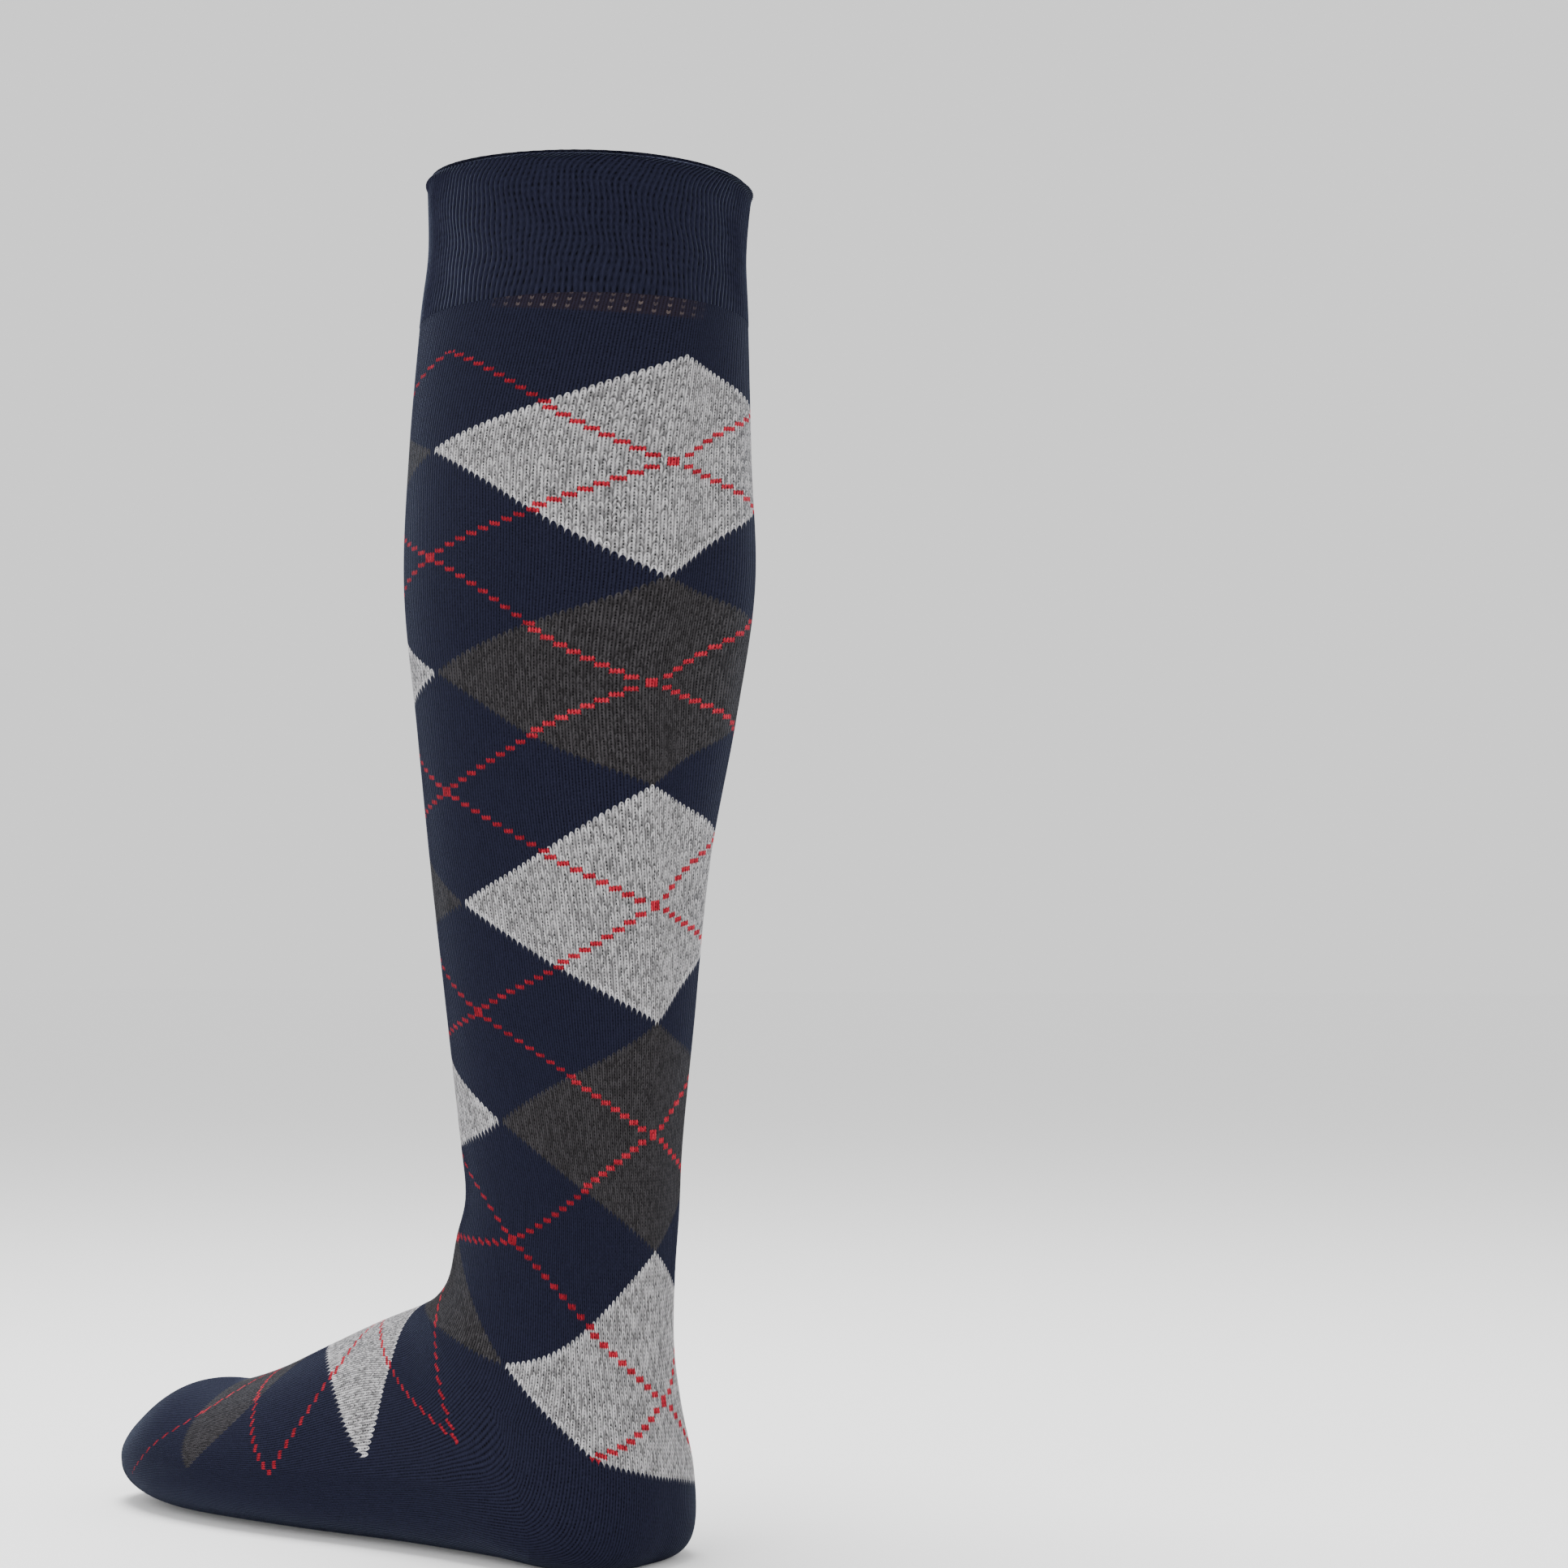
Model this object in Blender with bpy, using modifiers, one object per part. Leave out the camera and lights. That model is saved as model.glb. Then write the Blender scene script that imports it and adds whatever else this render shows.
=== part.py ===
"""Knee sock for a left foot, standing on its sole as if a leg filled it.

Metres, +Z up. The toes point to -Y and the outer side of the foot is +X.
The origin is on the inner face of the sole, under the middle of the leg.
"""
from collections import namedtuple
import math

import bmesh
import bpy
from mathutils import Vector

# Heights: the cuff, the leg below it, and the foot where the instep meets the leg
CUFF_HEIGHT = 0.0435
LEG_LENGTH = 0.3155
INSTEP_HEIGHT = 0.082

# Girths: side to side, and front to back
CALF_WIDTH = 0.110
CALF_DEPTH = 0.116
ANKLE_WIDTH = 0.0626
ANKLE_DEPTH = 0.0731

# Foot: heel to toe, and side to side at the ball
FOOT_LENGTH = 0.235
FOOT_WIDTH = 0.0762

# Walls: the cuff is folded double, and heel and toe are knitted closer
LEG_WALL = 0.0014
FOOT_WALL = 0.0014
HEEL_WALL = 0.0018
TOE_WALL = 0.0018
CUFF_WALL = 0.0024
PIECE_GAP = 0.0004
# The heel's edges run slantwise over the wales, so a gap along the wales is narrower across the edge
HEEL_GAP = 0.0009
RIM_ROUNDING = 0.0007

# How finely the knit is divided: round the tube, along it for each row of the tables, and the width
# of the narrow row along each edge, which keeps the edges of two pieces parallel
COLUMNS = 40
STEPS_PER_ROW = 2
HEM_ROW = 0.0008

# Cuff and leg, top to bottom. height: share of the cuff above its base, then of the leg above the
# instep. depth and width: 0 is the ankle's and 1 is the calf's. shift: the middle's way to the back
# as a share of the calf's depth. tilt: how much the front is higher, as a share of the row's depth.
LegRow = namedtuple("LegRow", "height depth width shift tilt")
CUFF_ROWS = [
    LegRow(1.00, 0.808, 0.917, 0.054, 0.034),
    LegRow(0.92, 0.755, 0.870, 0.055, 0.029),
    LegRow(0.51, 0.712, 0.826, 0.051, 0.010),
]
LEG_ROWS = [
    LegRow(1.000, 0.793, 0.896, 0.041, 0.000),
    LegRow(0.866, 0.930, 0.955, 0.026, 0.000),
    LegRow(0.732, 1.000, 1.000, 0.024, 0.000),
    LegRow(0.595, 0.772, 0.768, 0.012, 0.000),
    LegRow(0.449, 0.466, 0.513, -0.009, 0.000),
    LegRow(0.282, 0.221, 0.261, -0.006, 0.000),
    LegRow(0.171, 0.063, 0.087, -0.005, 0.027),
    LegRow(0.101, 0.000, 0.000, -0.001, 0.070),
]

# Ankle, heel and foot: each row is a slice through the instep and the sole, which fans round the
# heel. instep_y and sole_y: shares of the foot's length. instep_z and sole_z: shares of the instep's
# height. outer, inner and side: half widths and the middle's way to the outer side, as shares of the
# foot's width. waist: where the slice is widest, from instep to sole. roundness: 2 is an ellipse and
# more is squarer, over the instep and under the sole.
FootRow = namedtuple(
    "FootRow", "instep_y instep_z sole_y sole_z outer inner side waist instep_roundness sole_roundness"
)
FOOT_ROWS = [
    FootRow(-0.174, 1.258, 0.149, 1.082, 0.405, 0.405, 0.000, 0.50, 2.0, 2.0),
    FootRow(-0.190, 1.094, 0.149, 0.805, 0.405, 0.405, 0.000, 0.50, 2.0, 2.0),
    FootRow(-0.219, 1.000, 0.158, 0.553, 0.412, 0.412, 0.000, 0.52, 2.0, 2.2),
    FootRow(-0.254, 0.947, 0.172, 0.302, 0.432, 0.432, 0.000, 0.56, 2.0, 2.4),
    FootRow(-0.289, 0.909, 0.154, 0.040, 0.470, 0.453, 0.007, 0.60, 2.0, 3.0),
    FootRow(-0.325, 0.868, 0.079, -0.020, 0.484, 0.453, 0.020, 0.62, 2.0, 3.6),
    FootRow(-0.368, 0.818, -0.061, -0.014, 0.466, 0.446, 0.016, 0.62, 2.0, 3.2),
    FootRow(-0.430, 0.740, -0.219, -0.012, 0.473, 0.446, 0.014, 0.60, 2.0, 2.9),
    FootRow(-0.518, 0.629, -0.386, -0.012, 0.500, 0.480, 0.014, 0.58, 2.0, 2.9),
    FootRow(-0.614, 0.548, -0.535, -0.012, 0.507, 0.493, -0.003, 0.56, 2.0, 2.9),
    FootRow(-0.702, 0.524, -0.658, -0.012, 0.473, 0.486, -0.027, 0.55, 2.1, 2.9),
    FootRow(-0.765, 0.415, -0.743, 0.006, 0.405, 0.432, -0.054, 0.52, 2.2, 2.7),
    FootRow(-0.807, 0.306, -0.798, 0.050, 0.304, 0.338, -0.068, 0.50, 2.2, 2.5),
    FootRow(-0.824, 0.220, -0.822, 0.100, 0.176, 0.189, -0.081, 0.50, 2.2, 2.2),
    FootRow(-0.827, 0.180, -0.827, 0.145, 0.060, 0.065, -0.085, 0.50, 2.0, 2.0),
]

# Where the pieces meet, counted in rows from the rim: at the front and sides of the ankle, and
# along the back of the leg and the sole, between which the heel pocket lies
CUFF_END = len(CUFF_ROWS)
FIRST_FOOT_ROW = CUFF_END + len(LEG_ROWS)
FRONT_JOIN = FIRST_FOOT_ROW + 2.0
SIDE_JOIN = FIRST_FOOT_ROW + 3.3
HEEL_START = FIRST_FOOT_ROW + 2.75
HEEL_END = FIRST_FOOT_ROW + 6.2
TOE_START = FIRST_FOOT_ROW + 9.6
TOE_END = FIRST_FOOT_ROW + len(FOOT_ROWS) - 1.0

# A slice of the sock in metres: its two ends, its half widths and its squareness
Slice = namedtuple("Slice", "front back outer inner side waist front_roundness back_roundness")

# Knit colours: the plain ground, and the middle grey of the diamonds
NAVY = (0.013, 0.022, 0.052, 1.0)
HEATHER = (0.30, 0.30, 0.31, 1.0)
KNIT_ROUGHNESS = 0.9


def leg_slice(row, height):
    """A flat slice of the cuff or the leg at a height above the sole's outer face."""
    depth = ANKLE_DEPTH + row.depth * (CALF_DEPTH - ANKLE_DEPTH)
    width = ANKLE_WIDTH + row.width * (CALF_WIDTH - ANKLE_WIDTH)
    middle = row.shift * CALF_DEPTH
    rise = row.tilt * depth / 2
    front = Vector((middle - depth / 2, height + rise))
    back = Vector((middle + depth / 2, height - rise))
    return Slice(front, back, width / 2, width / 2, 0.0, 0.5, 2.0, 2.0)


def foot_slice(row):
    """A slice of the ankle, heel or foot, from the instep to the sole."""
    front = Vector((row.instep_y * FOOT_LENGTH, row.instep_z * INSTEP_HEIGHT))
    back = Vector((row.sole_y * FOOT_LENGTH, row.sole_z * INSTEP_HEIGHT))
    outer = row.outer * FOOT_WIDTH
    inner = row.inner * FOOT_WIDTH
    side = row.side * FOOT_WIDTH
    return Slice(front, back, outer, inner, side, row.waist, row.instep_roundness, row.sole_roundness)


def sock_slices():
    """Every slice from the rim to the toe, in order."""
    cuff_base = INSTEP_HEIGHT + LEG_LENGTH
    slices = [leg_slice(row, cuff_base + row.height * CUFF_HEIGHT) for row in CUFF_ROWS]
    slices += [leg_slice(row, INSTEP_HEIGHT + row.height * LEG_LENGTH) for row in LEG_ROWS]
    slices += [foot_slice(row) for row in FOOT_ROWS]
    return slices


def smooth_between(before, start, end, after, share):
    """A value on the smooth curve through four neighbours, between the two in the middle."""
    leave = (end - before) / 2
    arrive = (after - start) / 2
    square = share * share
    cube = square * share
    curve = start * (2 * cube - 3 * square + 1) + leave * (cube - 2 * square + share)
    return curve + end * (3 * square - 2 * cube) + arrive * (cube - square)


def slice_at(slices, place):
    """The slice at a place counted in rows, which need not be a whole number."""
    last = len(slices) - 1
    index = min(int(place), last - 1)
    neighbours = [slices[min(max(index + step, 0), last)] for step in (-1, 0, 1, 2)]
    values = [smooth_between(*column, place - index) for column in zip(*neighbours)]
    return Slice(*values)


def rounded(value, roundness):
    """A sine or cosine drawn out to a squarer curve."""
    return math.copysign(abs(value) ** (2 / roundness), value)


def surface_point(slices, turn, place):
    """A point of the outer face: turn is 0 at the front, a quarter at the outer side."""
    cut = slice_at(slices, place)
    along = math.cos(2 * math.pi * turn)
    across = math.sin(2 * math.pi * turn)
    roundness = cut.front_roundness if along >= 0 else cut.back_roundness
    middle = cut.front.lerp(cut.back, cut.waist)
    end = cut.front if along >= 0 else cut.back
    flat = middle + (end - middle) * abs(rounded(along, roundness))
    half_width = cut.outer if across >= 0 else cut.inner
    x = cut.side + half_width * rounded(across, roundness)
    on_floor = max(flat.y, 0.0)
    return Vector((x, flat.x, on_floor - FOOT_WALL))


def moved_along(slices, turn, place, distance):
    """The place that lies a distance further down the sock from the given one."""
    step = 0.01
    length = (surface_point(slices, turn, place + step) - surface_point(slices, turn, place - step)).length
    return place + distance * 2 * step / length


def pocket_share(turn):
    """How far the heel pocket has opened: 0 from the sides to the front, 1 at the back."""
    return max(0.0, -math.cos(2 * math.pi * turn))


def front_share(turn):
    """1 at the front, falling to 0 at the sides and the back."""
    return max(0.0, math.cos(2 * math.pi * turn))


def gap_at(turn):
    """The gap along the wales at the lower end of the leg and the start of the foot."""
    return PIECE_GAP + (HEEL_GAP - PIECE_GAP) * min(1.0, 4 * pocket_share(turn))


def leg_end(turn):
    """Where the leg ends: across the instep, and above the heel pocket."""
    front = SIDE_JOIN + (FRONT_JOIN - SIDE_JOIN) * front_share(turn)
    return front + (HEEL_START - SIDE_JOIN) * pocket_share(turn)


def foot_start(turn):
    """Where the foot starts: across the instep, and under the heel pocket."""
    front = SIDE_JOIN + (FRONT_JOIN - SIDE_JOIN) * front_share(turn)
    return front + (HEEL_END - SIDE_JOIN) * pocket_share(turn)


def knit_material(name, color):
    """A matt material of one colour."""
    material = bpy.data.materials.new(name)
    material.use_nodes = True
    shader = material.node_tree.nodes["Principled BSDF"]
    shader.inputs["Base Color"].default_value = color
    shader.inputs["Roughness"].default_value = KNIT_ROUGHNESS
    shader.inputs["Metallic"].default_value = 0.0
    material.diffuse_color = color
    return material


def share_of_row(row, rows, hem):
    """How far down a sheet a row lies, with a narrow hem row at the top and at the bottom."""
    if row in (0, rows):
        return row / rows
    return hem + (1 - 2 * hem) * (row - 1) / (rows - 2)


def knit_sheet(slices, start, end, rows, turns=(0.0, 1.0), inset=0.0):
    """A sheet of the outer face between two edges, each a function of the turn.

    The inset draws in the first and the last column, where a sheet doesn't go all the way round.
    """
    columns = round(COLUMNS * (turns[1] - turns[0]))
    sheet = bmesh.new()
    bmesh.ops.create_grid(sheet, x_segments=columns, y_segments=rows, size=0.5)
    for vertex in sheet.verts:
        turn = turns[0] + (turns[1] - turns[0]) * (0.5 + vertex.co.x)
        turn = min(max(turn, turns[0] + inset), turns[1] - inset)
        top = start(turn)
        bottom = end(turn)
        length = (surface_point(slices, turn, top) - surface_point(slices, turn, bottom)).length
        hem = min(1 / 3, HEM_ROW / length)
        row = round((0.5 - vertex.co.y) * rows)
        place = top + (bottom - top) * share_of_row(row, rows, hem)
        vertex.co = surface_point(slices, turn, place)
    bmesh.ops.remove_doubles(sheet, verts=sheet.verts, dist=0.00001)
    return sheet


def knit_piece(name, sheet, wall, material, collection):
    """A closed shell of the wall's thickness, inwards from the sheet."""
    mesh = bpy.data.meshes.new(name)
    sheet.to_mesh(mesh)
    sheet.free()
    piece = bpy.data.objects.new(name, mesh)
    collection.objects.link(piece)
    mesh.materials.append(material)
    mesh.shade_smooth()
    shell = piece.modifiers.new("wall", "SOLIDIFY")
    shell.thickness = wall
    shell.offset = -1.0
    return piece


def rows_between(start, end):
    """How many rows of faces a stretch of the table's rows gets."""
    return max(2, round((end - start) * STEPS_PER_ROW))


def make_cuff(slices, collection, material):
    """The turned-over band at the top, with a round rim."""
    def base(turn):
        return moved_along(slices, turn, CUFF_END, -PIECE_GAP / 2)
    rows = rows_between(0, CUFF_END)
    sheet = knit_sheet(slices, lambda turn: 0.0, base, rows)
    cuff = knit_piece("cuff", sheet, CUFF_WALL, material, collection)
    rim = cuff.modifiers.new("round_rim", "BEVEL")
    rim.width = min(RIM_ROUNDING, CUFF_WALL / 3)
    rim.segments = 1
    rim.limit_method = "ANGLE"
    rim.angle_limit = math.radians(50)
    return cuff


def make_leg(slices, collection, material):
    """The tube from the cuff to the ankle, cut away at the back for the heel."""
    def top(turn):
        return moved_along(slices, turn, CUFF_END, PIECE_GAP / 2)

    def bottom(turn):
        return moved_along(slices, turn, leg_end(turn), -gap_at(turn) / 2)
    rows = rows_between(CUFF_END, SIDE_JOIN)
    sheet = knit_sheet(slices, top, bottom, rows)
    return knit_piece("leg", sheet, LEG_WALL, material, collection)


def make_heel(slices, collection, material):
    """The pocket at the back, which narrows to a point at each side of the ankle."""
    def top(turn):
        return moved_along(slices, turn, leg_end(turn), gap_at(turn) / 2)

    def bottom(turn):
        return moved_along(slices, turn, foot_start(turn), -gap_at(turn) / 2)
    inset = 0.0
    while bottom(0.25 + inset) < top(0.25 + inset):
        inset += 0.0005
    rows = rows_between(HEEL_START, HEEL_END) + 2
    sheet = knit_sheet(slices, top, bottom, rows, (0.25, 0.75), inset)
    return knit_piece("heel", sheet, HEEL_WALL, material, collection)


def make_foot(slices, collection, material):
    """The tube from the heel and instep to the toe."""
    def top(turn):
        return moved_along(slices, turn, foot_start(turn), gap_at(turn) / 2)

    def bottom(turn):
        return moved_along(slices, turn, TOE_START, -PIECE_GAP / 2)
    rows = rows_between(FRONT_JOIN, TOE_START)
    sheet = knit_sheet(slices, top, bottom, rows)
    return knit_piece("foot", sheet, FOOT_WALL, material, collection)


def make_toe(slices, collection, material):
    """The closed cup at the end of the foot."""
    def top(turn):
        return moved_along(slices, turn, TOE_START, PIECE_GAP / 2)
    rows = rows_between(TOE_START, TOE_END) + 2
    sheet = knit_sheet(slices, top, lambda turn: TOE_END, rows)
    tip = [edge for edge in sheet.edges if edge.is_boundary and edge.verts[0].co.y < behind_the_tip()]
    bmesh.ops.holes_fill(sheet, edges=tip, sides=COLUMNS)
    bmesh.ops.triangulate(sheet, faces=[face for face in sheet.faces if len(face.verts) > 4])
    return knit_piece("toe", sheet, TOE_WALL, material, collection)


def behind_the_tip():
    """The y just behind the sock's tip, to tell its last ring from the toe's open edge."""
    return 0.97 * FOOT_ROWS[-1].sole_y * FOOT_LENGTH


def main():
    """Clear the scene and knit the five pieces into their own collection."""
    for leftover in list(bpy.data.objects):
        bpy.data.objects.remove(leftover, do_unlink=True)
    sock = bpy.data.collections.new("knee_sock")
    bpy.context.scene.collection.children.link(sock)
    slices = sock_slices()
    navy = knit_material("navy_knit", NAVY)
    heather = knit_material("argyle_knit", HEATHER)
    make_cuff(slices, sock, navy)
    make_leg(slices, sock, heather)
    make_heel(slices, sock, navy)
    make_foot(slices, sock, heather)
    make_toe(slices, sock, navy)


main()
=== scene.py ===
"""Knee sock for a left foot with an argyle pattern, knitted round its solid parts.

Metres, +Z up. The toes point to -Y and the outer side of the foot is +X.
Wales are counted round the sock: 0 at the front, 36 at the outer side, 72 at the back.
Courses are counted down the sock from the top of the argyle.
"""
from collections import namedtuple
import math

import bmesh
import bpy
import numpy as np
from mathutils import Matrix, Vector


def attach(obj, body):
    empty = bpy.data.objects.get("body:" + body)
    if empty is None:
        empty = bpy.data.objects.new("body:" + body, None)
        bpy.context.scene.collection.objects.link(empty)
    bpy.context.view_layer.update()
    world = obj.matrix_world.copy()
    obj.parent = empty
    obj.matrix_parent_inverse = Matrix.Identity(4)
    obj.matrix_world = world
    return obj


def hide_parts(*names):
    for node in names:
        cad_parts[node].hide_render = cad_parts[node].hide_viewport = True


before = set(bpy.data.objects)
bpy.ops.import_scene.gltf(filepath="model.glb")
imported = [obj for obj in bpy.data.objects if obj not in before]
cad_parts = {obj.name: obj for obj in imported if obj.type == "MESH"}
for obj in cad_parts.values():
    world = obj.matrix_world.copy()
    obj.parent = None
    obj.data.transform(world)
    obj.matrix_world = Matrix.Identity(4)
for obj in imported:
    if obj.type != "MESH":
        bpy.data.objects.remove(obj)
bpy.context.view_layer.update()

# Main sizes, in metres
CUFF_HEIGHT = 0.0435
LEG_LENGTH = 0.3155
INSTEP_HEIGHT = 0.082
CALF_WIDTH = 0.110
CALF_DEPTH = 0.116
ANKLE_WIDTH = 0.0626
ANKLE_DEPTH = 0.0731
FOOT_LENGTH = 0.235
FOOT_WIDTH = 0.0762
SOLE_WALL = 0.0014
KNIT_WALL = 0.0014
DOUBLE_WALL = 0.0018
CUFF_WALL = 0.0024
WALE_RELIEF = 0.0001
RIB_RELIEF = 0.0002
FLOOR_GAP = 0.0001

# Cuff and leg slices, top to bottom: height up the cuff or leg, girth from ankle 0 to calf 1,
# the middle's way to the back, and how much the front is higher
LegRow = namedtuple("LegRow", "height depth width shift tilt")
CUFF_ROWS = [
    LegRow(1.00, 0.808, 0.917, 0.054, 0.034),
    LegRow(0.92, 0.755, 0.870, 0.055, 0.029),
    LegRow(0.51, 0.712, 0.826, 0.051, 0.010),
]
LEG_ROWS = [
    LegRow(1.000, 0.793, 0.896, 0.041, 0.000),
    LegRow(0.866, 0.930, 0.955, 0.026, 0.000),
    LegRow(0.732, 1.000, 1.000, 0.024, 0.000),
    LegRow(0.595, 0.772, 0.768, 0.012, 0.000),
    LegRow(0.449, 0.466, 0.513, -0.009, 0.000),
    LegRow(0.282, 0.221, 0.261, -0.006, 0.000),
    LegRow(0.171, 0.063, 0.087, -0.005, 0.027),
    LegRow(0.101, 0.000, 0.000, -0.001, 0.070),
]

# Foot slices, each through the instep and the sole, in shares of the foot's length, the instep's
# height and the foot's width
FootRow = namedtuple(
    "FootRow", "instep_y instep_z sole_y sole_z outer inner side waist instep_roundness sole_roundness"
)
FOOT_ROWS = [
    FootRow(-0.174, 1.258, 0.149, 1.082, 0.405, 0.405, 0.000, 0.50, 2.0, 2.0),
    FootRow(-0.190, 1.094, 0.149, 0.805, 0.405, 0.405, 0.000, 0.50, 2.0, 2.0),
    FootRow(-0.219, 1.000, 0.158, 0.553, 0.412, 0.412, 0.000, 0.52, 2.0, 2.2),
    FootRow(-0.254, 0.947, 0.172, 0.302, 0.432, 0.432, 0.000, 0.56, 2.0, 2.4),
    FootRow(-0.289, 0.909, 0.154, 0.040, 0.470, 0.453, 0.007, 0.60, 2.0, 3.0),
    FootRow(-0.325, 0.868, 0.079, -0.020, 0.484, 0.453, 0.020, 0.62, 2.0, 3.6),
    FootRow(-0.368, 0.818, -0.061, -0.014, 0.466, 0.446, 0.016, 0.62, 2.0, 3.2),
    FootRow(-0.430, 0.740, -0.219, -0.012, 0.473, 0.446, 0.014, 0.60, 2.0, 2.9),
    FootRow(-0.518, 0.629, -0.386, -0.012, 0.500, 0.480, 0.014, 0.58, 2.0, 2.9),
    FootRow(-0.614, 0.548, -0.535, -0.012, 0.507, 0.493, -0.003, 0.56, 2.0, 2.9),
    FootRow(-0.702, 0.524, -0.658, -0.012, 0.473, 0.486, -0.027, 0.55, 2.1, 2.9),
    FootRow(-0.765, 0.415, -0.743, 0.006, 0.405, 0.432, -0.054, 0.52, 2.2, 2.7),
    FootRow(-0.807, 0.306, -0.798, 0.050, 0.304, 0.338, -0.068, 0.50, 2.2, 2.5),
    FootRow(-0.824, 0.220, -0.822, 0.100, 0.176, 0.189, -0.081, 0.50, 2.2, 2.2),
    FootRow(-0.827, 0.180, -0.827, 0.145, 0.060, 0.065, -0.085, 0.50, 2.0, 2.0),
]
CUFF_BASE = 3.0
TOE_START = 20.6
TOE_TIP = 25.0

# Knit: wales round the sock, argyle repeat, and where each part of the knitting starts and ends
WALES = 144
CUFF_WALES = 168
REPEAT = 72
COURSE = 0.001
FOOT_COURSE = 0.0007
FIRST_WALE = -36
HEEL_COURSE = 342
INSTEP_EXTRA = 6
HEEL_WALES = (36.4, 107.6)
ARGYLE_END = 504
CUFF_COURSES = 27

# Where key courses lie: the place, in rows of the tables above, at the front, the sides and the
# back, and how far the wales have turned round the sock there, as a share of a whole turn.
# spread and sag say how much of the two lists after this table a course takes.
KnitRow = namedtuple(
    "KnitRow", "course front side back front_turn outer_turn back_turn inner_turn spread sag"
)
LEG_KNIT = [
    KnitRow(-36, 2.80, 2.75, 2.80, -0.025, -0.020, -0.030, -0.025, 1.0, 1.0),
    KnitRow(0, 3.46, 3.36, 3.44, -0.045, -0.039, -0.047, -0.045, 1.0, 1.0),
    KnitRow(36, 4.16, 4.04, 4.20, -0.060, -0.058, -0.064, -0.060, 1.0, 1.0),
    KnitRow(72, 4.88, 4.84, 5.04, -0.060, -0.056, -0.072, -0.065, 1.0, 1.0),
    KnitRow(108, 5.62, 5.68, 5.80, -0.060, -0.058, -0.080, -0.070, 1.0, 0.8),
    KnitRow(144, 6.42, 6.52, 6.50, -0.058, -0.056, -0.067, -0.062, 1.0, 1.0),
    KnitRow(180, 7.12, 7.24, 7.26, -0.045, -0.042, -0.047, -0.045, 1.0, 1.2),
    KnitRow(216, 7.74, 7.88, 7.95, -0.035, -0.033, -0.035, -0.035, 0.9, 1.0),
    KnitRow(252, 8.50, 8.80, 8.91, -0.034, -0.010, -0.030, -0.025, 0.7, 0.3),
    KnitRow(288, 9.60, 10.52, 10.48, -0.010, 0.004, -0.017, -0.010, 0.4, 0.3),
    KnitRow(324, 11.50, 12.84, 12.64, 0.004, 0.006, 0.002, 0.000, 0.2, 0.0),
    KnitRow(360, 13.75, 15.12, 15.00, 0.000, -0.033, -0.010, 0.020, -0.8, -2.0),
    KnitRow(396, 15.95, 17.36, 17.20, 0.000, -0.019, 0.000, 0.015, 0.0, 0.0),
]
FOOT_KNIT = [
    KnitRow(288, 9.60, 10.52, 15.40, -0.010, 0.004, 0.000, -0.010, 0.4, 0.3),
    KnitRow(324, 11.50, 12.84, 16.50, 0.004, 0.006, 0.000, 0.000, 0.2, 0.0),
    KnitRow(360, 13.75, 15.12, 17.90, 0.000, -0.033, 0.000, 0.020, -0.8, -2.0),
    KnitRow(396, 15.95, 17.36, 18.80, 0.000, -0.019, 0.000, 0.015, 0.0, 0.0),
    KnitRow(432, 18.00, 18.80, 19.60, 0.000, 0.003, 0.000, 0.000, 0.0, 0.0),
    KnitRow(468, 18.95, 20.08, 20.50, 0.000, 0.003, 0.000, 0.000, 0.0, 0.0),
    KnitRow(504, 19.85, 21.76, 21.90, 0.000, 0.042, 0.000, 0.000, 0.0, 0.0),
    KnitRow(540, 20.90, 23.20, 23.20, 0.000, 0.042, 0.000, 0.000, 0.0, 0.0),
    KnitRow(576, 22.20, 24.50, 24.50, 0.000, 0.042, 0.000, 0.000, 0.0, 0.0),
    KnitRow(612, 23.50, 25.80, 25.80, 0.000, 0.042, 0.000, 0.000, 0.0, 0.0),
    KnitRow(648, 25.20, 27.20, 27.20, 0.000, 0.042, 0.000, 0.000, 0.0, 0.0),
]

# Uneven stretch of the leg, from the inner side round by the front: how far the wales are pulled
# round the leg, in turns, at every 9th wale, and how far the courses sag, in courses, at every 18th
SPREAD = (
    0.035, 0.027, 0.015, -0.003, -0.018, -0.028, -0.030, -0.010,
    0.000, 0.001, -0.004, -0.004, 0.000, -0.012, 0.018, 0.030,
)
SAG = (-1.5, 0.0, 0.0, -2.5, 0.0, 2.0, 0.0, -4.0)

# How far the rim of the cuff rises, in metres, at every 9th wale from the inner side
RIM_RISE = (
    0.0, 0.0002, 0.0003, 0.0, -0.0003, -0.0002, 0.0, 0.0005,
    0.0010, 0.0014, 0.0010, -0.0005, 0.0, 0.0004, 0.0, -0.0002,
)

# Yarn colours, linear
NAVY = (0.0058, 0.0062, 0.013, 1.0)
NAVY_LIGHT = (0.0145, 0.0155, 0.032, 1.0)
LIGHT_GREY = (0.245, 0.24, 0.245, 1.0)
DARK_GREY = (0.030, 0.028, 0.030, 1.0)
RED = (0.42, 0.020, 0.038, 1.0)
PALE_STITCH = (0.085, 0.066, 0.062, 1.0)
BROWN_SHADE = (0.022, 0.013, 0.015, 1.0)


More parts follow.
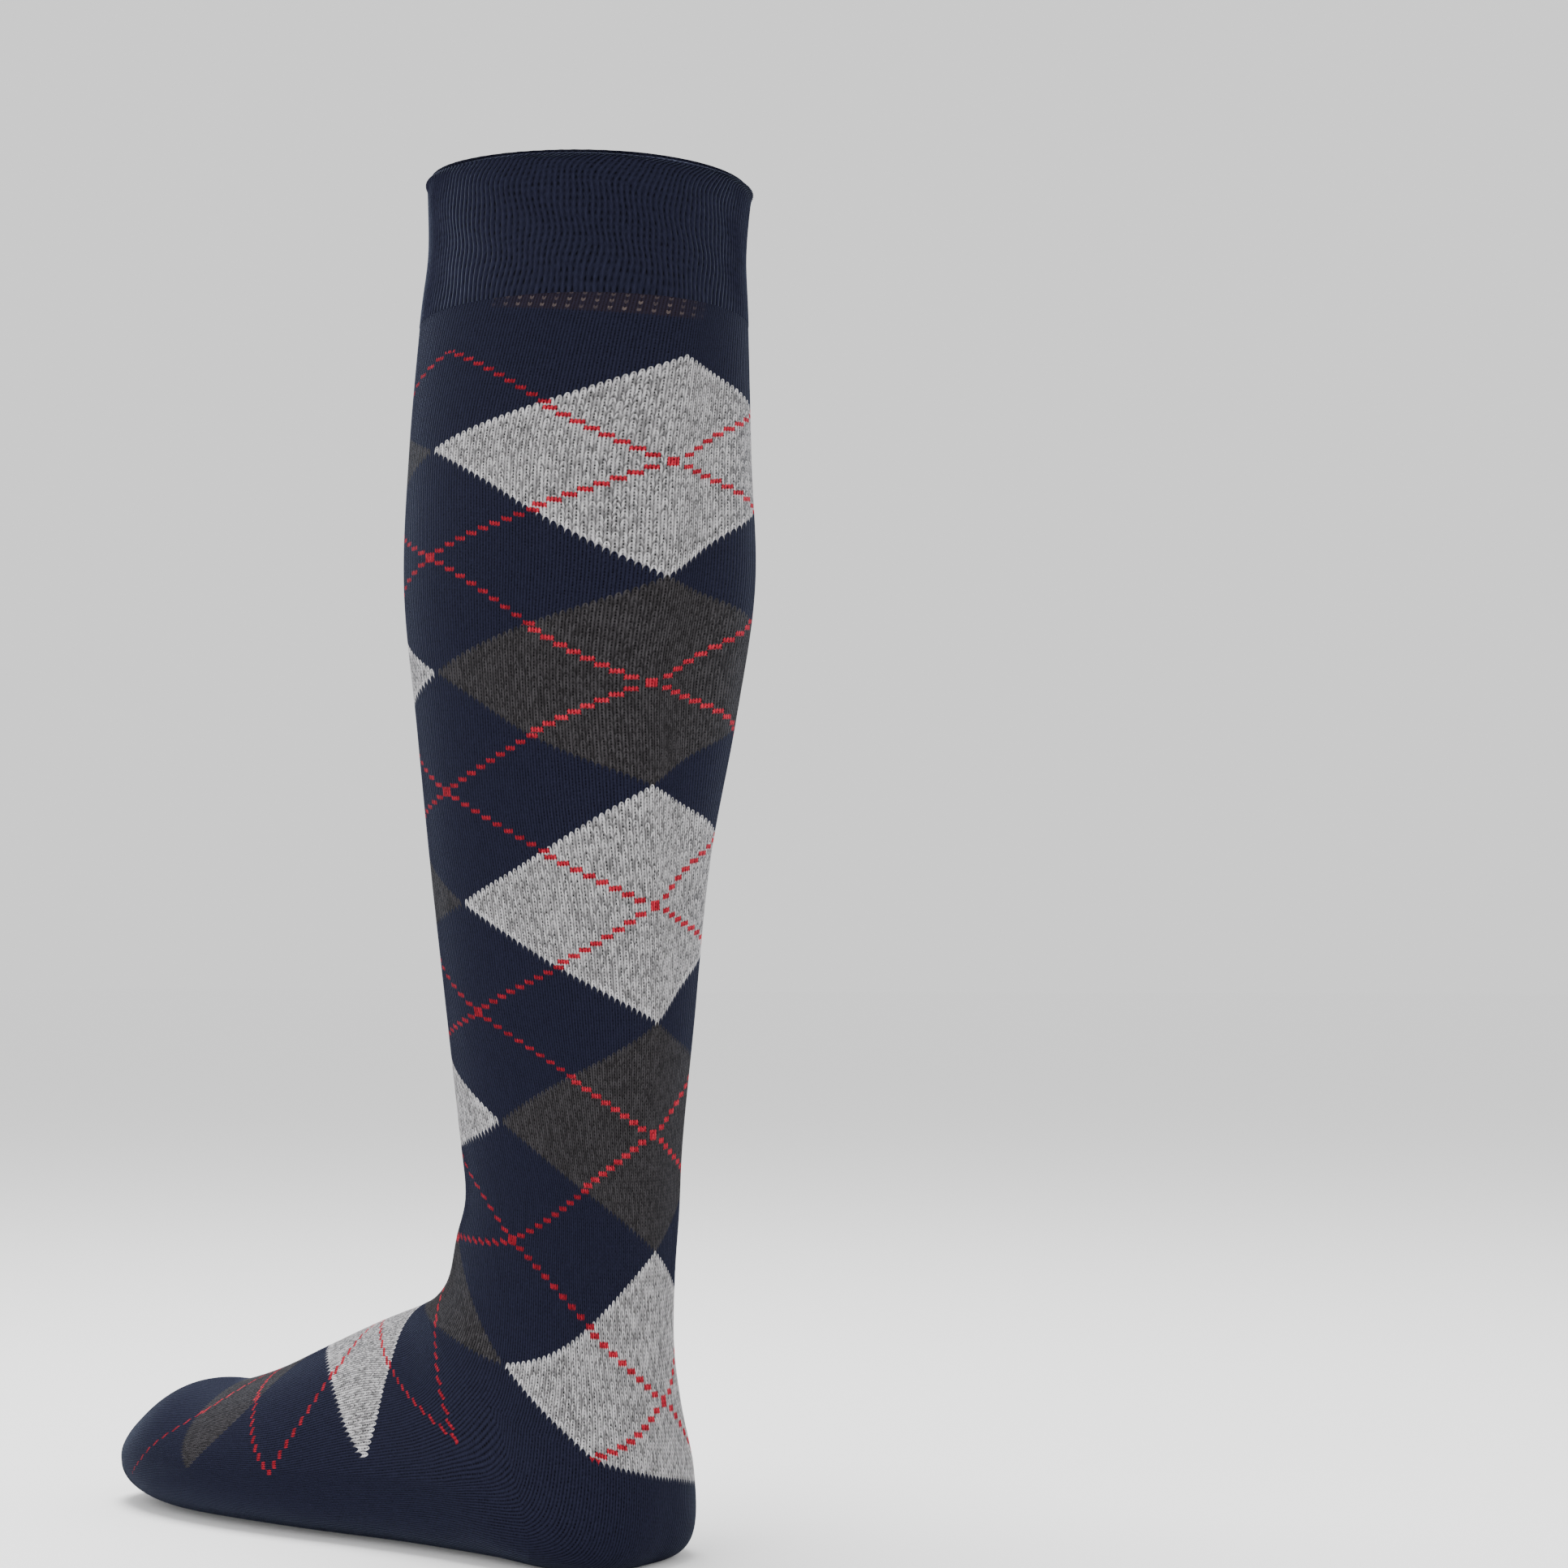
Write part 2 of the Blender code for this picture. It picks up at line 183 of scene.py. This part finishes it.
def slice_table():
    """Every slice from the rim to the toe as one array of numbers."""
    slices = []
    base = INSTEP_HEIGHT + LEG_LENGTH
    for rows, foot, length in ((CUFF_ROWS, base, CUFF_HEIGHT), (LEG_ROWS, INSTEP_HEIGHT, LEG_LENGTH)):
        for row in rows:
            height = foot + row.height * length
            depth = ANKLE_DEPTH + row.depth * (CALF_DEPTH - ANKLE_DEPTH)
            width = ANKLE_WIDTH + row.width * (CALF_WIDTH - ANKLE_WIDTH)
            middle = row.shift * CALF_DEPTH
            rise = row.tilt * depth / 2
            ends = (middle - depth / 2, height + rise, middle + depth / 2, height - rise)
            slices.append((*ends, width / 2, width / 2, 0.0, 0.5, 2.0, 2.0))
    for row in FOOT_ROWS:
        front = (row.instep_y * FOOT_LENGTH, row.instep_z * INSTEP_HEIGHT)
        back = (row.sole_y * FOOT_LENGTH, row.sole_z * INSTEP_HEIGHT)
        widths = (row.outer * FOOT_WIDTH, row.inner * FOOT_WIDTH, row.side * FOOT_WIDTH)
        slices.append((*front, *back, *widths, row.waist, row.instep_roundness, row.sole_roundness))
    return np.array(slices)


def smooth_rows(table, place):
    """The table's rows at places between them, on the smooth curve through four neighbours."""
    last = len(table) - 1
    index = np.clip(np.floor(place).astype(int), 0, last - 1)
    share = (place - index)[:, None]
    before, start, end, after = [table[np.clip(index + step, 0, last)] for step in (-1, 0, 1, 2)]
    leave = (end - before) / 2
    arrive = (after - start) / 2
    square = share * share
    cube = square * share
    curve = start * (2 * cube - 3 * square + 1) + leave * (cube - 2 * square + share)
    return curve + end * (3 * square - 2 * cube) + arrive * (cube - square)


SLICES = slice_table()


def surface(turn, place):
    """Points of the outer face: turn is 0 at the front, a quarter at the outer side."""
    cut = smooth_rows(SLICES, place)
    front, back = cut[:, 0:2], cut[:, 2:4]
    outer, inner, side, waist, front_roundness, back_roundness = cut[:, 4:].T
    along = np.cos(2 * math.pi * turn)
    across = np.sin(2 * math.pi * turn)
    power = np.where(along >= 0, front_roundness, back_roundness)
    reach = (np.abs(along) ** power + np.abs(across) ** power) ** (-1 / power)
    middle = front + (back - front) * waist[:, None]
    end = np.where((along >= 0)[:, None], front, back)
    flat = middle + (end - middle) * (np.abs(along) * reach)[:, None]
    x = side + np.where(across >= 0, outer, inner) * across * reach
    z = np.maximum(flat[:, 1], 0.0) - SOLE_WALL
    return np.column_stack((x, flat[:, 0], z))


def outward(turn, place):
    """Unit normals of the outer face."""
    step = 0.002
    round_it = surface(turn + step, place) - surface(turn - step, place)
    down_it = surface(turn, place + 5 * step) - surface(turn, place - 5 * step)
    normal = np.cross(down_it, round_it)
    return normal / np.maximum(np.linalg.norm(normal, axis=1, keepdims=True), 1e-12)


def front_share(wale, power=1.3):
    """1 at the front, falling to 0 at the sides and the back."""
    return np.maximum(0.0, np.cos(2 * math.pi * wale / WALES)) ** power


def back_share(wale, power):
    """1 at the back, falling to 0 at the sides and the front."""
    return np.maximum(0.0, -np.cos(2 * math.pi * wale / WALES)) ** power


def round_the_leg(values, wale):
    """Values given at every few wales round the leg, smoothly joined."""
    count = len(values)
    ring = np.array(values * 3)[:, None]
    return smooth_rows(ring, count + ((wale - FIRST_WALE) * count / WALES) % count)[:, 0]


def knit_place(knit, wale, course, power=2):
    """The turn and place of stitches, counted by wale and course."""
    table = np.array(knit)
    step = table[1, 0] - table[0, 0]
    loose = smooth_rows(table, (course - table[0, 0]) / step)[:, -2:]
    sunk = course + round_the_leg(SAG, wale) * loose[:, 1]
    row = smooth_rows(table, (sunk - table[0, 0]) / step)
    front, side, back, front_turn, outer_turn, back_turn, inner_turn = row[:, 1:8].T
    ahead = front_share(wale)
    behind = back_share(wale, power)
    place = side + (front - side) * ahead + (back - side) * behind
    side_turn = np.where((wale > 0) & (wale < WALES / 2), outer_turn, inner_turn)
    ahead = front_share(wale, 2)
    behind = back_share(wale, 2)
    turn = wale / WALES + side_turn + (front_turn - side_turn) * ahead + (back_turn - side_turn) * behind
    return turn + round_the_leg(SPREAD, wale) * loose[:, 0], place


def course_of(knit, wale, place, low, high, power=2):
    """The course at which each wale reaches a place."""
    low = np.full_like(wale, low)
    high = np.full_like(wale, high)
    for _ in range(24):
        middle = (low + high) / 2
        reached = knit_place(knit, wale, middle, power)[1] > place
        high = np.where(reached, middle, high)
        low = np.where(reached, low, middle)
    return low


def folded_rows(outer_rows, inner_rows, wall, round_top=False):
    """Rows of a double sheet: down the outer face, round the hem, up the inside, round the top.

    Each row is a share of the way down, a way past that in metres, a depth, and whether it is outside.
    """
    radius = wall / 2
    rows = [(row / outer_rows, 0.0, 0.0, 1.0) for row in range(outer_rows + 1)]
    rows += [(1.0, 0.0, wall * step / 3, 1 - step / 3) for step in (1, 2)]
    rows += [(1 - row / inner_rows, 0.0, wall, 0.0) for row in range(inner_rows + 1)]
    if round_top:
        bends = [math.pi * step / 6 for step in (1, 2, 3, 4, 5)]
        rows[0] = (0.0, radius, 0.0, 1.0)
        rows[-1] = (0.0, radius, wall, 0.0)
        rows += [(0.0, radius * (1 - math.sin(a)), radius * (1 + math.cos(a)), 0.0) for a in bends]
    else:
        rows += [(0.0, 0.0, wall * step / 3, 1 - step / 3) for step in (2, 1)]
    rows.append(rows[0])
    return np.array(rows)


def knit_object(name, columns, rows, stitches, ridge, closed=True, tuck=None):
    """A mesh of columns along the wales. stitches(wale, rows) gives turn, place, wale and course."""
    sheet = bmesh.new()
    bmesh.ops.create_grid(sheet, x_segments=columns, y_segments=len(rows) - 1, size=0.5)
    mesh = bpy.data.meshes.new(name)
    sheet.to_mesh(mesh)
    flat = np.zeros(len(mesh.vertices) * 3)
    mesh.vertices.foreach_get("co", flat)
    flat = flat.reshape(-1, 3)
    wale = FIRST_WALE + WALES * np.round((flat[:, 0] + 0.5) * columns) / columns
    row = rows[np.round((0.5 - flat[:, 1]) * (len(rows) - 1)).astype(int)]
    turn, place, wale, course = stitches(wale, row)
    height = ridge(wale) * row[:, 3] - row[:, 2]
    if tuck:
        height -= tuck(wale, course)
    points = surface(turn, place) + outward(turn, place) * height[:, None]
    mesh.vertices.foreach_set("co", points.ravel())
    corners = np.zeros(len(mesh.loops), dtype=int)
    mesh.loops.foreach_get("vertex_index", corners)
    knit = mesh.uv_layers.new(name="knit")
    knit.data.foreach_set("uv", np.column_stack((wale, course))[corners].ravel())
    sheet.clear()
    sheet.from_mesh(mesh)
    bmesh.ops.remove_doubles(sheet, verts=sheet.verts, dist=0.000002)
    open_edges = [edge for edge in sheet.edges if edge.is_boundary]
    if closed:
        ends = bmesh.ops.holes_fill(sheet, edges=open_edges, sides=0)
        bmesh.ops.triangulate(sheet, faces=ends["faces"])
    else:
        # Only the tip of the toe is filled: the side that meets the foot stays open for the wall
        past_tip = 0.97 * FOOT_ROWS[-1].sole_y * FOOT_LENGTH
        tip = [edge for edge in open_edges if edge.verts[0].co.y < past_tip]
        ends = bmesh.ops.holes_fill(sheet, edges=tip, sides=0)
        bmesh.ops.poke(sheet, faces=ends["faces"])
    sheet.edges.index_update()
    border = [edge.index for edge in sheet.edges if edge.is_boundary]
    bmesh.ops.recalc_face_normals(sheet, faces=sheet.faces)
    if closed and sheet.calc_volume(signed=True) < 0:
        bmesh.ops.reverse_faces(sheet, faces=sheet.faces)
    sheet.to_mesh(mesh)
    sheet.free()
    mesh.shade_smooth()
    mesh.set_sharp_from_angle(angle=1.0)
    for index in border:
        mesh.edges[index].use_edge_sharp = True
    piece = bpy.data.objects.new(name, mesh)
    bpy.context.scene.collection.objects.link(piece)
    return piece


def wale_ridge(wale):
    """The relief of a plain wale: two legs with a groove on each side and a shallow one between."""
    legs = np.abs(np.sin(2 * math.pi * wale)) - 0.5
    return WALE_RELIEF * (legs + 0.2 * np.cos(2 * math.pi * wale))


def make_leg():
    """The tube from the cuff to the ankle, cut away at the back for the heel."""
    def stitches(wale, row):
        top = course_of(LEG_KNIT, wale, CUFF_BASE, -36.0, 36.0)
        end = HEEL_COURSE + INSTEP_EXTRA * front_share(wale)
        course = top + (end - top) * row[:, 0] + row[:, 1] / COURSE
        turn, place = knit_place(LEG_KNIT, wale, course)
        return turn, place, wale, course

    return knit_object("leg_argyle", 4 * WALES, folded_rows(110, 18, KNIT_WALL), stitches, wale_ridge)


def make_foot():
    """The tube from the heel and instep to the toe."""
    def stitches(wale, row):
        top = HEEL_COURSE + INSTEP_EXTRA * front_share(wale)
        end = course_of(FOOT_KNIT, wale, TOE_START, 342.0, 612.0, 1)
        course = top + (end - top) * row[:, 0] + row[:, 1] / FOOT_COURSE
        turn, place = knit_place(FOOT_KNIT, wale, course, 1)
        return turn, place, wale, course

    return knit_object("foot_argyle", 4 * WALES, folded_rows(70, 14, KNIT_WALL), stitches, wale_ridge)


def make_heel():
    """The pocket at the back, which narrows to a point at each side of the ankle."""
    def stitches(wale, row):
        first, last = HEEL_WALES
        wale = first + (last - first) * (wale - FIRST_WALE) / WALES
        turn, top = knit_place(LEG_KNIT, wale, np.full_like(wale, HEEL_COURSE))
        under, end = knit_place(FOOT_KNIT, wale, np.full_like(wale, HEEL_COURSE), 1)
        end = np.maximum(end, top + 0.01)
        share = row[:, 0]
        place = top + (end - top) * share
        turn = turn + (under - turn) * share
        course = HEEL_COURSE + (place - top) * 18
        return turn, place, wale, course

    return knit_object("heel_pocket", 4 * 72, folded_rows(36, 10, DOUBLE_WALL), stitches, wale_ridge)


def make_toe():
    """The closed cup at the end of the foot."""
    def stitches(wale, row):
        top = course_of(FOOT_KNIT, wale, TOE_START, 342.0, 640.0, 1)
        end = course_of(FOOT_KNIT, wale, TOE_TIP, 342.0, 660.0, 1)
        course = top + (end - top) * row[:, 0]
        turn, place = knit_place(FOOT_KNIT, wale, course, 1)
        return turn, np.minimum(place, TOE_TIP), wale, course

    steps = 40
    rows = np.array([(row / steps, 0.0, 0.0, 1.0) for row in range(steps + 1)])
    toe = knit_object("toe_cup", 4 * WALES, rows, stitches, wale_ridge, closed=False)
    shell = toe.modifiers.new("wall", "SOLIDIFY")
    shell.thickness = DOUBLE_WALL
    shell.offset = -1.0
    return toe


def make_cuff():
    """The turned-over band at the top, with a round, wavy rim and leaning ribs."""
    def stitches(wale, row):
        height = 1 - row[:, 0]
        rise = round_the_leg(RIM_RISE, wale) + 0.0004 * np.abs(np.sin(math.pi * wale * 0.5))
        place = CUFF_BASE * (row[:, 0] + (row[:, 1] - rise * height ** 3) / CUFF_HEIGHT)
        lean = -0.029 + 0.004 * height + 0.018 * np.maximum(height - 0.55, 0) ** 1.2 / 0.38
        around = 2 * math.pi * wale / WALES
        lean += 0.003 * np.sin(9 * height + 0.6 * np.sin(5 * around))
        lean += 0.0012 * np.sin(24 * height + 9 * around)
        return wale / WALES + lean, place, wale * CUFF_WALES / WALES, -CUFF_COURSES * height

    def ridge(wale):
        return -RIB_RELIEF * np.cos(2 * math.pi * wale)

    def tuck(wale, course):
        from_corner = 2 * math.pi * (wale / CUFF_WALES - 16 / WALES)
        return 0.0018 * np.maximum(np.cos(from_corner), 0) ** 4 * (course / CUFF_COURSES) ** 2

    rows = folded_rows(40, 12, CUFF_WALL, round_top=True)
    return knit_object("cuff_band", 6 * WALES, rows, stitches, ridge, tuck=tuck)


class Strand:
    """A value in a material, so that sums, products and masks can be written as they are."""

    def __init__(self, finish, socket):
        self.finish = finish
        self.socket = socket

    def math(self, operation, *others):
        return self.finish.node("ShaderNodeMath", {"operation": operation}, [self, *others])

    def __add__(self, other):
        return self.math("ADD", other)

    def __radd__(self, other):
        return self.math("ADD", other)

    def __sub__(self, other):
        return self.math("SUBTRACT", other)

    def __rsub__(self, other):
        return self.finish.node("ShaderNodeMath", {"operation": "SUBTRACT"}, [other, self])

    def __mul__(self, other):
        return self.math("MULTIPLY", other)

    def __rmul__(self, other):
        return self.math("MULTIPLY", other)

    def __truediv__(self, other):
        return self.math("DIVIDE", other)

    def __lt__(self, other):
        return self.math("LESS_THAN", other)

    def __gt__(self, other):
        return self.math("GREATER_THAN", other)


class Finish:
    """A knit material, built node by node."""

    def __init__(self, name):
        self.material = bpy.data.materials.new(name)
        self.material.use_nodes = True
        self.tree = self.material.node_tree
        self.shader = self.tree.nodes["Principled BSDF"]

    def node(self, kind, settings, values, output=0):
        node = self.tree.nodes.new(kind)
        for key, value in settings.items():
            setattr(node, key, value)
        pairs = values.items() if isinstance(values, dict) else enumerate(values)
        for key, value in pairs:
            if isinstance(value, Strand):
                self.tree.links.new(value.socket, node.inputs[key])
            else:
                socket = node.inputs[key]
                socket.default_value = value[:3] if socket.type == "VECTOR" else value
        return Strand(self, node.outputs[output])

    def mix(self, factor, first, second):
        settings = {"data_type": "RGBA", "blend_type": "MIX"}
        return self.node("ShaderNodeMix", settings, {0: factor, 6: first, 7: second}, 2)

    def noise(self, vector, scale, detail):
        values = {"Vector": vector, "Scale": scale, "Detail": detail}
        return self.node("ShaderNodeTexNoise", {"noise_dimensions": "2D"}, values)

    def chance(self, x, y):
        """One even value for each whole x and y."""
        return self.node("ShaderNodeTexWhiteNoise", {"noise_dimensions": "2D"}, [self.combine(x, y)])

    def scale(self, color, amount):
        return self.node("ShaderNodeVectorMath", {"operation": "SCALE"}, {0: color, "Scale": amount})

    def combine(self, x, y):
        return self.node("ShaderNodeCombineXYZ", {}, [x, y, 0.0])

    def feed(self, socket, value):
        if isinstance(value, Strand):
            self.tree.links.new(value.socket, self.shader.inputs[socket])
        else:
            self.shader.inputs[socket].default_value = value


Stitch = namedtuple("Stitch", "wale course line_course x y off legs beat each leg clouds specks")


def read_stitches(cloth, ribbed):
    """What a material knows of the stitch at a point: its place, its shape and its yarn."""
    knit = cloth.node("ShaderNodeUVMap", {"uv_map": "knit"}, [])
    wale = cloth.node("ShaderNodeSeparateXYZ", {}, [knit])
    course = Strand(cloth, wale.socket.node.outputs[1])

    # A stitch is an arch: its top at the wale's middle, its two legs longest at the wale's edges
    off = ((wale + 0.5).math("FRACT") - 0.5).math("ABSOLUTE") * 2
    stitch_course = course - 1.6 * off.math("POWER", 2.4)
    x = (wale + 0.5).math("FLOOR")
    y = stitch_course.math("FLOOR")
    legs = (wale * (math.pi if ribbed else 2 * math.pi)).math("SINE").math("ABSOLUTE")
    beat = 0.5 + 0.5 * ((stitch_course.math("FRACT") - 0.7) * (2 * math.pi)).math("COSINE")

    # The stitches of a row in another yarn sit a little unevenly
    line_course = course - (0.4 + 0.2 * (wale * (4 * math.pi)).math("COSINE"))

    # One value for each stitch and for each leg, and slow cloudy values, as in mixed yarn
    each = cloth.chance(x, y)
    leg = cloth.chance((wale * 2).math("FLOOR"), y + 0.5)
    clouds = cloth.noise(cloth.combine(wale, course * 0.5), 0.3, 3.0)
    specks = cloth.noise(cloth.combine(wale * 2.2, course), 1.2, 2.0)
    return Stitch(wale, course, line_course, x, y, off, legs, beat, each, leg, clouds, specks)


def diamonds(cloth, stitch, ground, plain_from):
    """The ground with light and dark heather diamonds, where they are, and where the argyle runs.

    From the course plain_from on, the back half of the sock is plain.
    """
    half = REPEAT / 2
    across = stitch.x.math("PINGPONG", half)
    down = (stitch.y + 0.5).math("PINGPONG", half)
    column = ((stitch.x + half) / REPEAT).math("FLOOR")
    line = (stitch.y / REPEAT).math("FLOOR")
    light = ((column + line) / 2).math("FRACT") > 0.25
    plain = (stitch.x > half + 0.5) * (stitch.y > plain_from - 0.5)
    shown = (stitch.y > -0.5) * (stitch.y < ARGYLE_END - 0.5) * (1 - plain)
    diamond = (across < down) * shown
    dark = cloth.scale(DARK_GREY, 0.25 + 0.2 * stitch.each + 0.8 * stitch.leg + 0.5 * stitch.specks)
    # Painted highlight: the stitches along the rim of each light diamond are painted lighter
    edge = (down - across < 2) * 0.35
    yarn = 0.3 + 0.1 * stitch.each + 1.25 * stitch.leg + 0.2 * stitch.clouds
    pale = cloth.scale(LIGHT_GREY, yarn + edge)
    return cloth.mix(diamond, ground, cloth.mix(light, dark, pale)), diamond, shown


def red_lines(cloth, stitch, color, diamond, shown):
    """Red lines in dashes two wales wide on every second course, with a block at each crossing."""
    half = REPEAT / 2
    nearest = (stitch.line_course / 2 + 0.5).math("FLOOR") * 2
    away = (stitch.line_course - nearest).math("ABSOLUTE")
    down = ((nearest / REPEAT).math("FRACT") * REPEAT - half).math("ABSOLUTE")
    middle = down + (down < 17)
    off_dash = (stitch.wale.math("PINGPONG", half) - middle).math("ABSOLUTE")
    wide = off_dash < 0.85 + 0.2 * diamond
    tall = away < 0.62 + 0.12 * diamond
    dash = wide * tall * (down > 1) * (down < half - 1)
    line_x = (stitch.wale.math("FLOOR") + 0.5).math("PINGPONG", half)
    far = ((stitch.line_course / REPEAT).math("FRACT") * REPEAT - half).math("ABSOLUTE")
    centre_block = (line_x < 1) * (far < 1.5)
    ends = (stitch.course < half) + (stitch.course > HEEL_COURSE)
    side_block = (line_x > half - 1) * (far > half - 1.5 + 0.8 * ends)
    red = (dash + centre_block + side_block > 0.5) * shown
    yarn = cloth.scale(RED, (0.5 + 0.6 * stitch.leg) * (0.55 + 0.45 * diamond))
    return cloth.mix(red, color, yarn)


def pale_rows(cloth, stitch, color):
    """Three short rows of pale stitches under the cuff, at the back of the outer side."""
    tilted = stitch.line_course - 0.06 * (stitch.wale - 28)
    row = (tilted / 3 + 0.5).math("FLOOR") * 3
    band = (row > -25) * (row < -17)
    from_row = (tilted - row).math("ABSOLUTE")
    stitches = (from_row < 0.6) * ((stitch.x / 2).math("FRACT") < 0.25) * (stitch.off < 0.6)
    strength = (0.25 + 0.75 * stitch.each) * (0.45 + 0.55 * (row > -23))
    from_middle = ((stitch.wale - 58) / 17).math("ABSOLUTE")
    fade = ((1 - from_middle) * 3).math("MINIMUM", 1.0).math("MAXIMUM", 0.0)
    color = cloth.mix(band * fade * 0.35, color, BROWN_SHADE)
    return cloth.mix(band * stitches * fade * strength, color, PALE_STITCH)


def knit_finish(name, sheen, argyle=True, ribbed=False, plain_sole=False):
    """Knit stitches, with the argyle in heather greys and red where it is asked for."""
    cloth = Finish(name)
    stitch = read_stitches(cloth, ribbed)
    color = cloth.mix(stitch.specks, NAVY, NAVY_LIGHT)
    openness = 1.0
    if argyle:
        plain_from = 0 if plain_sole else HEEL_COURSE
        color, diamond, shown = diamonds(cloth, stitch, color, plain_from)
        color = red_lines(cloth, stitch, color, diamond, shown)
        openness = 1 + 0.9 * diamond

    # Dark dots in the gaps between the legs, deeper in the diamonds: partly the yarn seen through the
    # gaps and partly painted shade in them, with the tops of the legs painted a little lighter
    gaps = 1 - stitch.legs.math("POWER", openness)
    unevenness = (0.45 if ribbed else 0.7) + 0.6 * stitch.each
    gap_yarn_and_shade = gaps * (0.35 + 0.65 * stitch.beat) * unevenness
    color = cloth.scale(color, 1.2 - 1.15 * gap_yarn_and_shade)
    if argyle:
        color = pale_rows(cloth, stitch, color)
    height = stitch.legs - 0.5 * stitch.beat * (1 - stitch.legs) + 0.3 * stitch.specks
    bump = cloth.node("ShaderNodeBump", {}, {"Strength": 0.5, "Distance": 0.0003, "Height": height})
    cloth.feed("Base Color", color)
    cloth.feed("Roughness", 1.0)
    cloth.feed("Specular IOR Level", 0.05)
    cloth.feed("Sheen Weight", sheen)
    cloth.feed("Sheen Roughness", 0.3)
    cloth.feed("Sheen Tint", (0.62, 0.76, 1.0, 1.0))
    cloth.feed("Normal", bump)
    return cloth.material


def make_floor():
    """A wide pale floor under the sole."""
    plate = bmesh.new()
    bmesh.ops.create_grid(plate, x_segments=1, y_segments=1, size=30.0)
    mesh = bpy.data.meshes.new("floor")
    plate.to_mesh(mesh)
    plate.free()
    mesh.transform(Matrix.Translation((0, 0, -SOLE_WALL - FLOOR_GAP)))
    floor = bpy.data.objects.new("floor", mesh)
    bpy.context.scene.collection.objects.link(floor)
    pale = Finish("pale_floor")
    pale.feed("Base Color", (0.9, 0.9, 0.9, 1.0))
    pale.feed("Roughness", 0.9)
    pale.feed("Emission Color", (1.0, 1.0, 1.0, 1.0))
    pale.feed("Emission Strength", 0.08)
    mesh.materials.append(pale.material)
    return floor


def make_camera():
    """The camera, level and at the photograph's angle."""
    turn = math.radians(127)
    distance = 0.9785
    height = 0.18606
    data = bpy.data.cameras.new("camera")
    data.lens = 69.04
    data.sensor_width = 36
    data.shift_x = 0.1351
    data.shift_y = 0.1227
    camera = bpy.data.objects.new("camera", data)
    camera.location = (math.sin(turn) * distance, -math.cos(turn) * distance, height)
    aim = Vector((0, 0, height)) - camera.location
    camera.rotation_euler = aim.to_track_quat("-Z", "Y").to_euler()
    bpy.context.scene.collection.objects.link(camera)
    bpy.context.scene.camera = camera
    return camera


def make_light(name, azimuth, elevation, distance, size, power):
    """A square soft light that faces the middle of the sock."""
    turn = math.radians(azimuth)
    rise = math.radians(elevation)
    data = bpy.data.lights.new(name, "AREA")
    data.shape = "SQUARE"
    data.size = size
    data.energy = power
    lamp = bpy.data.objects.new(name, data)
    middle = Vector((0, -0.04, 0.2))
    away = Vector((math.sin(turn) * math.cos(rise), -math.cos(turn) * math.cos(rise), math.sin(rise)))
    lamp.location = middle + away * distance
    lamp.rotation_euler = (-away).to_track_quat("-Z", "Y").to_euler()
    bpy.context.scene.collection.objects.link(lamp)


def make_lights():
    """White surroundings and soft lights from both sides."""
    world = bpy.data.worlds.new("studio")
    bpy.context.scene.world = world
    world.use_nodes = True
    sky = world.node_tree.nodes["Background"]
    sky.inputs["Color"].default_value = (1.0, 1.0, 1.0, 1.0)
    sky.inputs["Strength"].default_value = 1.15
    make_light("key_light", 90, 35, 1.6, 1.0, 7)
    make_light("fill_light", 212, 25, 1.8, 1.2, 5)
    make_light("top_light", 0, 84, 1.3, 0.7, 38)


make_camera()
make_lights()
make_floor()
# The same yarn gets more sheen on the cuff, foot and toe than on the leg and heel: painted sheen that
# stands in for the extra light falling on them
PIECES = (
    ("cuff", make_cuff, knit_finish("cuff_yarn", 0.14, argyle=False, ribbed=True)),
    ("leg", make_leg, knit_finish("leg_yarn", 0.08)),
    ("heel", make_heel, knit_finish("heel_yarn", 0.08)),
    ("foot", make_foot, knit_finish("foot_yarn", 0.17, plain_sole=True)),
    ("toe", make_toe, knit_finish("toe_yarn", 0.17, plain_sole=True)),
)
for node, make, finish in PIECES:
    piece = make()
    piece.data.materials.append(finish)
    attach(piece, "root")
    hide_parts(node)
    node + "_knit"
